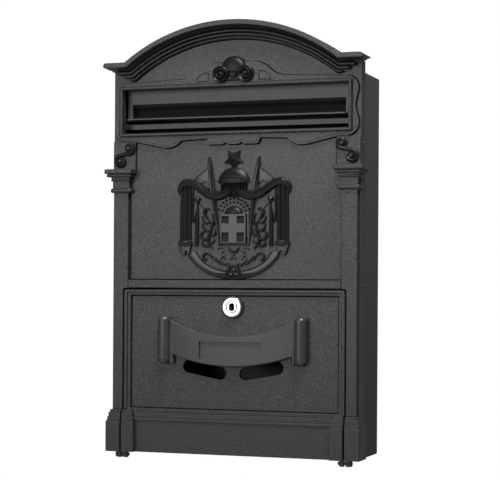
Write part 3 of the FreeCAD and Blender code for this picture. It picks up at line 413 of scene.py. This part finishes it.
rosette_parts.append(softened_block("link", (-3.0, 3.0), (73, 77.6), (187.4, 192.9), 0.7))
rosette_parts.append(softened_block("ledge", (-9.5, 9.5), (73, 76.4), (184.6, 186.4), 0.6))
rosette = joined("rosette", rosette_parts)
clad(rosette, brushed_black)
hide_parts("slot_rosette")
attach(rosette, "housing")

# Quarter panels: a fine raised line with a square corner and a curved side, on the border at each
# side of the rosette. It was carved in the pattern that the front was cast from.
fine_lines = []
for side in (-1, 1):
    corner = [(25.6, 193.0), (25.6, 189.0), (25.6, 185.2), (31.0, 185.0), (37.4, 184.8)]
    arc = [(37.4, 184.8), (36.2, 188.4), (33.0, 191.4), (29.4, 192.9), (25.6, 193.0)]
    for points in (corner[:3], corner[2:], arc):
        fine_lines.append(rolled_bar("line", [(side * x, z, 74.0) for x, z in points],
                                     [0.42] * len(points)))
quarter_panels = joined("quarter_panels", fine_lines)
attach(quarter_panels, "housing")


# Crest, drapery: a rolled cloth swag over two hanging curtains with turned-up hems, and an apron
# that closes them in a round lower edge. Low relief, cast in one with the front plate.
def relief_plate(name, outline, base, front, soft, smooth=True):
    """A flat raised shape with a softened edge, from its outline (X, Z) and its levels out.

    The outline is drawn flat and filled, then it is stood up against the plate.
    """
    clear_selection()
    bpy.ops.curve.primitive_bezier_circle_add()
    shape = bpy.context.object
    shape.name = name
    line = shape.data
    line.dimensions = "2D"
    line.fill_mode = "BOTH"
    line.bevel_depth = soft * MM
    line.bevel_resolution = 2
    line.offset = -soft * MM
    line.extrude = ((front - base) / 2 - soft) * MM
    line.resolution_u = 5 if smooth else 1
    spline = line.splines[0]
    spline.bezier_points.add(max(0, len(outline) - 4))
    for knot, (x, z) in zip(spline.bezier_points, outline):
        knot.co = (x * MM, z * MM, 0)
        knot.handle_left_type = knot.handle_right_type = "AUTO" if smooth else "VECTOR"
    bpy.ops.object.convert(target="MESH")
    shape = bpy.context.object
    shape.rotation_euler = (math.pi / 2, 0, 0)
    shape.location = (0, -(base + front) / 2 * MM, 0)
    bpy.ops.object.transform_apply()
    bpy.ops.object.mode_set(mode="EDIT")
    bpy.ops.mesh.select_all(action="SELECT")
    bpy.ops.mesh.remove_doubles(threshold=1e-6)
    bpy.ops.mesh.normals_make_consistent(inside=False)
    bpy.ops.object.mode_set(mode="OBJECT")
    return shape


drapery = []
for side in (-1, 1):
    swag = [(55.2, 78.0), (54.6, 84.0), (50.4, 88.6), (44.0, 88.6), (37.0, 85.4), (29.5, 80.2),
            (22.0, 77.0), (13.5, 76.6), (6.0, 79.4), (0.6, 82.6)]
    girth = [1.4, 3.0, 3.8, 3.9, 4.2, 4.6, 4.9, 4.6, 3.6, 1.6]
    drapery.append(rolled_bar("swag", [(side * x, z, 70.8) for x, z in swag], girth))
    crease = [(side * x, z + 0.45 * size, 70.8 + 0.86 * size)
              for (x, z), size in zip(swag[1:], girth[1:])]
    drapery.append(rolled_bar("crease", crease, [0.4, 0.8, 0.9, 0.9, 1.0, 1.1, 1.0, 0.8, 0.4]))
    for x, low, girth in ((45.0, 34, 2.3), (49.4, 34, 2.7), (53.0, 34, 1.9), (41.6, 52, 1.0)):
        drapery.append(rolled_bar("fold", [(side * (x + lean), z, 70.4) for lean, z in (
            (0.2, 86), (-0.2, 70), (0.3, 52), (0.0, low))], [girth * 0.75, girth, girth, girth]))
    drapery.append(rolled_bar("hem", [(side * x, z, 71.4) for x, z in (
        (42.2, 31.2), (46.0, 30.2), (51.0, 30.2), (55.4, 31.8))], [2.2, 2.7, 2.8, 2.5]))
    drapery.append(relief_plate("tail", [(side * x, z) for x, z in (
        (43.4, 31.0), (54.4, 31.0), (53.8, 24.0), (50.2, 19.4), (47.6, 23.6), (44.6, 20.8),
        (44.0, 25.0))], 69, 72.6, 0.5))
apron_edge = [(-45.8, 20.6), (-37.0, 10.6), (-26.0, 3.4), (-13.0, -1.0), (0, -2.4), (13.0, -1.0),
              (26.0, 3.4), (37.0, 10.6), (45.8, 20.6)]
apron_fold = [(-38.4, 22.4), (-31.0, 13.4), (-21.0, 7.6), (-11.0, 4.6), (0, 3.6), (11.0, 4.6),
              (21.0, 7.6), (31.0, 13.4), (38.4, 22.4)]
drapery.append(rolled_bar("apron_edge", [(x, z, 70.2) for x, z in apron_edge], [1.5] * 9))
drapery.append(rolled_bar("apron_fold", [(x, z, 70.2) for x, z in apron_fold], [1.0] * 9))
drapery.append(relief_plate("apron", apron_edge + apron_fold[::-1], 69, 70.8, 0.2))
crest_drapery = joined("crest_drapery", drapery)
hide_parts("crest_relief")
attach(crest_drapery, "housing")

# Crest, staffs: two long staffs cross in front of the swag, each with a plain pennant, and two
# short ones with ball tops and furled cloth stand inside the curtains. Cast with the plate.
staffs = []
for side in (-1, 1):
    staffs.append(rolled_bar("staff", [(side * x, z, out) for x, z, out in (
        (25.4, 113.2, 71.2), (24.6, 107.0, 71.6), (21.6, 84.0, 75.4), (19.4, 68.0, 73.6),
        (16.9, 48.0, 71.6), (14.6, 28.6, 71.2))], [0.7, 1.9, 1.6, 1.3, 1.3, 1.0]))
    staffs.append(relief_plate("pennant", [(side * x, z) for x, z in (
        (25.0, 103.0), (40.0, 92.0), (34.0, 87.4), (29.0, 90.0), (24.0, 87.0))],
        69, 71.4, 0.35, smooth=False))
    staffs.append(rolled_bar("pennant_hem", [(side * x, z, 71.0) for x, z in (
        (25.4, 102.8), (30.0, 99.4), (35.0, 95.7), (40.0, 92.0))], [0.5, 0.7, 0.7, 0.5]))
    staffs.append(rolled_bar("short_staff", [(side * x, z, 70.6) for x, z in (
        (36.6, 70.0), (37.0, 60.0), (37.4, 46.0), (37.6, 28.0))], [0.8, 1.6, 2.1, 2.3]))
    staffs.append(rolled_bar("furled_cloth", [(side * x, z, 70.2) for x, z in (
        (37.2, 66.0), (39.2, 58.0), (40.4, 50.6), (40.0, 50.0))], [0.5, 0.9, 1.1, 0.4]))
    staffs.append(rolled_bar("tie", [(side * x, z, 70.4) for x, z in (
        (35.6, 70.0), (33.0, 66.8), (30.0, 64.2))], [0.5, 0.5, 0.5]))
staffs += bead_row("ball_top", [(-36.8, 72.6), (36.8, 72.6)], 3.0, 70.8, 20)
crest_staffs = joined("crest_staffs", staffs)
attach(crest_staffs, "housing")

# Crest, cap: a round cap with a fluted band stands on the swag, under a small star with five
# hollow-ground points. Both are cast with the plate.
cap_parts = [half_dome("cap", 86.6, [
    (16.4, 69.0), (16.4, 70.6), (15.9, 72.4), (14.2, 74.0), (11.0, 75.4), (6.6, 76.2), (2.0, 76.5)],
    48, 88.2)]
cap_parts.append(rolled_bar("cap_rim", [
    (-16.0, 89.2, 70.6), (-8.0, 88.6, 73.4), (0, 88.4, 74.6), (8.0, 88.6, 73.4),
    (16.0, 89.2, 70.6)], [1.1] * 5))
for up, wide, proud in ((91.2, 13.6, 74.7), (93.0, 11.4, 75.2), (96.6, 9.4, 74.9)):
    cap_parts.append(rolled_bar("cap_line", [
        (-wide, up + 0.3, proud - 1.4), (-wide / 2, up, proud + 0.5), (0, up - 0.1, proud + 1.1),
        (wide / 2, up, proud + 0.5), (wide, up + 0.3, proud - 1.4)], [0.45] * 5))
flute = rolled_bar("flute", [(0, 87.4, 73.4), (0, 84.6, 73.4), (0, 81.0, 73.4)], [1.2, 1.35, 1.2])
flute_places = (-12, -9, -6, -3, 3, 6, 9, 12)
cap_parts += [flute] + copied(flute, [(x, -0.012 * x * x, 0) for x in flute_places])
star_middle = Vector((0, -69.6, 110.4)) * MM
clear_selection()
bpy.ops.mesh.primitive_circle_add(vertices=10, radius=10.8 * MM, fill_type="TRIFAN",
                                  location=star_middle, rotation=(math.pi / 2, 0, 0))
star = bpy.context.object
star.name = "star"
bpy.ops.object.transform_apply()


def pick_vertices(piece, wanted):
    """In edit mode, select the vertices for which wanted(place) holds."""
    shape = bmesh.from_edit_mesh(piece.data)
    for face in shape.faces:
        face.select = False
    for edge in shape.edges:
        edge.select = False
    for vertex in shape.verts:
        vertex.select = wanted(vertex.co)
    shape.select_flush(True)
    bmesh.update_edit_mesh(piece.data)


def between_points(place):
    """Whether a place lies nearer to a notch of the star than to one of its points."""
    ray = place - star_middle
    return 18 < math.degrees(math.atan2(ray.x, -ray.z)) % 72 < 54 and ray.xz.length > MM


bpy.ops.object.mode_set(mode="EDIT")
bpy.ops.mesh.select_mode(type="VERT")
bpy.ops.mesh.select_all(action="SELECT")
bpy.ops.mesh.extrude_region_move(TRANSFORM_OT_translate={"value": (0, -1.4 * MM, 0)})
pick_vertices(star, between_points)
bpy.ops.transform.resize(value=(0.55, 1, 0.55), center_override=star_middle)
pick_vertices(star, lambda place: (place - star_middle).xz.length < MM and place.y < -0.0705)
bpy.ops.transform.translate(value=(0, -2.8 * MM, 0))
bpy.ops.mesh.select_all(action="SELECT")
bpy.ops.mesh.normals_make_consistent(inside=False)
bpy.ops.object.mode_set(mode="OBJECT")
cap_parts.append(star)
crest_cap = joined("crest_cap", cap_parts, 30)
clad(crest_cap, brushed_black)
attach(crest_cap, "housing")

# Crest, shield: a plain squared shield with a raised cross and four sunk quarters in a narrow
# frame. The pattern maker cut the quarters down by a good millimetre; it is cast with the plate.
clear_selection()
bpy.ops.mesh.primitive_grid_add(x_subdivisions=5, y_subdivisions=5, size=2,
                                location=(0, 0, 0), rotation=(math.pi / 2, 0, 0))
shield = bpy.context.object
shield.name = "shield"
bpy.ops.object.transform_apply()
uprights = [-13.4, -11.4, -4.0, 4.0, 11.4, 13.4]
levels = [30.0, 32.2, 41.2, 49.6, 56.8, 59.0]
for vertex in shield.data.vertices:
    column, row = round((vertex.co.x + 1) * 2.5), round((vertex.co.z + 1) * 2.5)
    vertex.co = Vector((uprights[column], -69.4, levels[row])) * MM
bpy.ops.object.mode_set(mode="EDIT")
bpy.ops.mesh.select_mode(type="VERT")
bpy.ops.mesh.select_all(action="SELECT")
bpy.ops.mesh.extrude_region_move(TRANSFORM_OT_translate={"value": (0, -4.4 * MM, 0)})
bpy.ops.mesh.select_mode(type="FACE")
face_set = bmesh.from_edit_mesh(shield.data)
for face in face_set.faces:
    middle = face.calc_center_median() / MM
    face.select = (middle.y < -73 and 5 < abs(middle.x) < 11
                   and (33 < middle.z < 41 or 50 < middle.z < 56))
bmesh.update_edit_mesh(shield.data)
bpy.ops.mesh.inset(thickness=0.35 * MM, depth=-1.3 * MM, use_individual=True)
bpy.ops.mesh.select_mode(type="EDGE")
face_set = bmesh.from_edit_mesh(shield.data)
for edge in face_set.edges:
    ends = [vertex.co / MM for vertex in edge.verts]
    edge.select = all(end.y < -73.7 for end in ends) and any(
        all(abs(abs(end.x) - uprights[-1]) < 0.1 for end in ends)
        or all(abs(end.z - level) < 0.1 for end in ends) for level in (levels[0], levels[-1]))
bmesh.update_edit_mesh(shield.data)
bpy.ops.mesh.bevel(offset=0.7 * MM, segments=3, affect="EDGES")
bpy.ops.mesh.select_all(action="SELECT")
bpy.ops.mesh.normals_make_consistent(inside=False)
bpy.ops.object.mode_set(mode="OBJECT")
shield_back = relief_plate("shield_back", [
    (-15.4, 60.6), (15.4, 60.6), (15.4, 28.6), (-15.4, 28.6)], 69, 71.2, 0.4, smooth=False)
crest_shield = joined("crest_shield", [shield, shield_back], 30)
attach(crest_shield, "housing")

# Crest, coronet: a low hump over the shield with two arcs of beads above it, and four little rings
# at the top. Every bead was punched into the pattern with a cup tool.
coronet = [half_dome("hump", 56.6, [
    (9.8, 69.0), (9.8, 71.0), (9.0, 73.0), (6.6, 74.4), (3.0, 75.0)], 32, 58.8)]
for count, radius, girth in ((9, 11.6, 1.1), (11, 15.2, 1.25)):
    bearings = [math.radians(18 + 144 * step / (count - 1)) for step in range(count)]
    coronet += bead_row("bead", [(1.05 * radius * math.cos(bearing),
                                  58.6 + 0.98 * radius * math.sin(bearing))
                                 for bearing in bearings], girth)
hoop = [(1.5 * math.cos(math.radians(a)), 79.6 + 1.5 * math.sin(math.radians(a)), 71.4)
        for a in range(0, 361, 60)]
ring = rolled_bar("ring", hoop, [0.6] * 7)
coronet += [ring] + copied(ring, [(-4.4, 0, -2.8), (4.4, 0, -2.8), (0, 0, -4.0)])
crest_coronet = joined("crest_coronet", coronet)
clad(crest_coronet, brushed_black)
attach(crest_coronet, "housing")

# Crest, leaves: a scrolling acanthus stem with curled side leaves fills the space between the
# shield and the curtain on each side. Modelled in clay for the pattern, then cast with the plate.
leaves = []
leaf_shapes = [
    # points (X, Z) from the stalk to the tip, and the greatest half-width
    ([(20.6, 26.0), (24.6, 30.0), (25.6, 36.0), (23.0, 42.0), (22.6, 48.0), (26.0, 54.0)], 1.5),
    ([(26.0, 54.0), (29.0, 57.6), (29.4, 61.6), (26.4, 63.8), (24.0, 62.0)], 1.7),
    ([(23.6, 45.0), (20.4, 50.0), (20.4, 56.0), (23.0, 59.4)], 1.5),
    ([(24.4, 51.0), (28.0, 50.0), (31.0, 52.4), (32.4, 57.0)], 1.3),
    ([(23.2, 43.4), (27.2, 42.6), (30.8, 45.4), (32.2, 50.0)], 1.4),
    ([(25.4, 37.0), (29.0, 34.4), (32.4, 36.4), (32.0, 41.4), (29.6, 41.6)], 1.6),
    ([(24.4, 40.0), (20.6, 38.2), (18.6, 41.2), (19.2, 45.0)], 1.3),
    ([(24.8, 31.0), (20.8, 32.0), (18.8, 35.4)], 1.2),
    ([(24.0, 29.0), (28.4, 28.0), (31.8, 30.4), (31.6, 33.0)], 1.4),
]
for side in (-1, 1):
    for points, width in leaf_shapes:
        count = len(points)
        girth = [width * max(0.25, math.sin(math.pi * (0.2 + 0.75 * step / (count - 1))))
                 for step in range(count)]
        leaves.append(rolled_bar("leaf", [(side * x, z, 70.8 + 0.5 * width) for x, z in points],
                                 girth))
crest_leaves = joined("crest_leaves", leaves)
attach(crest_leaves, "housing")

# Crest, chain: a garland of oblong links and beads hangs below the shield, over a trefoil of
# three balls between two curled leaves. Cast with the plate.
chain = []
for side in (-1, 1):
    hooks = [(27.4, 15.0), (30.4, 16.6), (29.6, 20.6), (25.6, 21.0), (22.6, 18.4)]
    chain.append(rolled_bar("hook", [(side * x, z, 71.2) for x, z in hooks],
                            [1.3, 1.1, 1.0, 1.1, 0.9]))
    for x, z, tilt in ((19.6, 16.4, 38), (13.0, 12.4, 24), (6.0, 10.2, 10)):
        lean = math.radians(tilt)
        oval = []
        for step in range(9):
            lengthways = 2.6 * math.cos(math.radians(45 * step))
            sideways = 1.35 * math.sin(math.radians(45 * step))
            oval.append((side * (x + lengthways * math.cos(lean) - sideways * math.sin(lean)),
                         z + lengthways * math.sin(lean) + sideways * math.cos(lean), 71.4))
        chain.append(rolled_bar("link", oval, [0.62] * 9))
    chain.append(rolled_bar("sprig", [(side * x, z, 70.8) for x, z in (
        (1.2, 9.0), (4.4, 6.6), (6.6, 2.4), (7.4, -1.8))], [0.7, 1.5, 1.5, 0.5]))
bead_places = {
    1.0: [(12.0, 26.4), (-12.0, 26.4)],
    1.1: [(side * x, z) for side in (-1, 1) for x, z in (
        (16.4, 14.4), (9.6, 11.0), (8.4, 16.4), (12.8, 16.4), (15.4, 25.6))],
    1.2: [(0, 19.4), (2.2, 16.6), (-2.2, 16.6)],
    1.4: [(10.6, 22.4), (-10.6, 22.4)],
    1.5: [(0, 10.0), (10.6, 18.8), (-10.6, 18.8)],
}
for girth, places in bead_places.items():
    chain += bead_row("chain_bead", places, girth)
chain += bead_row("trefoil", [(0, 5.0), (-2.7, 0.8), (2.7, 0.8)], 2.1, 70.8, 18)
chain.append(rolled_bar("crescent", [(x, z, 71.2) for x, z in (
    (-5.4, 27.0), (-3.6, 24.0), (0, 22.6), (3.6, 24.0), (5.4, 27.0))], [0.5, 1.1, 1.5, 1.1, 0.5]))
crest_chain = joined("crest_chain", chain)
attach(crest_chain, "housing")

# Door and nameplate: cast like the front, from the same metal and with the same coat. The
# nameplate is a ribbon with rolled ends, dressed smooth and held by two screws from behind.
clad(NODES["door_casting"], cast_black)
dressed = Finish("banner_black", Metallic=0.0, Specular_IOR_Level=0.55)
drift = dressed.noise(0.012, 3.0)
clad(NODES["nameplate_banner"], dressed.feed(
    Base_Color=dressed.blend(drift, grey(0.026), grey(0.044)),
    Roughness=0.30 + 0.12 * drift,
    Normal=dressed.bump(dressed.noise(0.0012, 2.0), 0.00012, 0.6)))

# Steel box, roof, floor and mail guide: folded sheet with a smooth semi-gloss coat, which shows a
# faint orange peel. Its colour is darkened towards the foot of the box as painted shade, and the
# coat is made rougher there.
steel = Finish("sheet_black", Metallic=0.0)
peel = steel.noise(0.003, 2.0)
clouds = steel.noise(0.09, 2.0)
box_top, box_foot = 0.20, -0.18
# Painted shade: darker and rougher from the top of the box down to its foot.
foot_shade = steel.ramp(steel.along("Z") + clouds * 0.06, box_top, box_foot)
sheet_black = steel.feed(
    Base_Color=steel.blend(foot_shade, steel.blend(clouds, grey(0.036), grey(0.056)), grey(0.005)),
    Roughness=0.34 + 0.10 * clouds + 0.12 * foot_shade,
    Normal=steel.bump(peel, 0.00006, 0.5))
for name in ("body_shell", "roof_panel", "floor_panel", "mail_guide", "side_rivets"):
    clad(NODES[name], sheet_black)

# Flap: pressed from sheet and painted with the box, but handled every day, so its coat is
# polished along the lip. Its trough is coloured near black and made rougher, as painted shade.
leaf = Finish("flap_black", Metallic=0.0)
rub = leaf.noise(0.02, 3.0)
trough_mouth, trough_bed = -0.0612, -0.0595
# Painted shade: the flap's trough, back from its mouth, is coloured near black.
trough_shade = leaf.ramp(leaf.along("Y"), trough_mouth, trough_bed)
flap_black = leaf.feed(
    Base_Color=leaf.blend(trough_shade, leaf.blend(rub, grey(0.034), grey(0.054)), grey(0.007)),
    Roughness=0.34 + 0.12 * rub + 0.5 * trough_shade,
    Normal=leaf.bump(leaf.noise(0.0016, 2.0), 0.00008, 0.5))
clad(NODES["slot_flap"], flap_black)

# Fixings inside the box: screws, rod, clips, lock nut and cam are steel with a thin zinc plate,
# which goes dull and cloudy where damp has reached it.
plating = Finish("zinc", Metallic=1.0)
bloom = plating.ramp(plating.noise(0.004, 4.0), 0.42, 0.70)
zinc = plating.feed(
    Base_Color=plating.blend(bloom, grey(0.62), grey(0.42)),
    Roughness=0.30 + 0.30 * bloom,
    Normal=plating.bump(plating.noise(0.0009), 0.00003, 0.5))
for name in ("fascia_screws", "banner_screws", "flap_hinge_rod", "rod_clips", "lock_nut",
             "lock_cam", "cam_screw"):
    clad(NODES[name], zinc)

# Hinge pins and the lock's ring: turned steel, blacked in a hot bath and oiled. The black wears
# thin at the edges of the heads.
blacked = Finish("pin_black", Metallic=0.0)
worn = blacked.noise(0.0015, 3.0)
pin_black = blacked.feed(
    Base_Color=blacked.blend(worn, grey(0.008), grey(0.03)),
    Roughness=0.26 + 0.22 * worn)
for name in ("hinge_pin_left", "hinge_pin_right", "lock_bezel"):
    clad(NODES[name], pin_black)

# Lock housing and plug: a zinc die casting with bright chrome plate, which keys have scratched
# finely. The plate doesn't reach into the keyway, which is coloured near black as painted shade.
bright_plate = Finish("lock_chrome")
scuffs = bright_plate.noise(0.0016, 3.0)
lock_height, keyway_radius, keyway_mouth = -0.0296, 0.0049, -0.0750
from_axis = bright_plate.node("ShaderNodeVectorMath", {"operation": "SUBTRACT"}, {
    0: bright_plate.place(), 1: (0, 0, lock_height)})
from_axis = bright_plate.node("ShaderNodeVectorMath", {"operation": "MULTIPLY"}, {
    0: from_axis, 1: (1, 0, 1)})
off_centre = bright_plate.node("ShaderNodeVectorMath", {"operation": "LENGTH"}, {0: from_axis},
                               output="Value")
# Painted shade: the keyway inside its mouth is coloured near black and not plated.
keyway_shade = bright_plate.ramp(off_centre, keyway_radius + 0.0001, keyway_radius - 0.0001)
keyway_shade = keyway_shade * bright_plate.ramp(bright_plate.along("Y"), keyway_mouth - 0.0002,
                                    keyway_mouth + 0.0002)
lock_chrome = bright_plate.feed(
    Base_Color=bright_plate.blend(
        keyway_shade, bright_plate.blend(scuffs, grey(0.50), grey(0.64)), grey(0.004)),
    Metallic=1 - keyway_shade,
    Roughness=0.16 + 0.14 * scuffs + 0.6 * keyway_shade)
for name in ("lock_housing", "lock_plug"):
    clad(NODES[name], lock_chrome)

# Floor: a plain pale sheet of card, well below the hanging box. It belongs to the studio and not
# to the box.
clear_selection()
bpy.ops.mesh.primitive_plane_add(size=8.0, location=(0, 0, -1.2))
floor = bpy.context.object
floor.name = "floor"
pale = Finish("pale_floor", Roughness=0.9, Specular_IOR_Level=0.1)
clad(floor, pale.feed(Base_Color=pale.blend(
    pale.noise(0.8), (0.93, 0.93, 0.93, 1), (0.96, 0.96, 0.96, 1))))
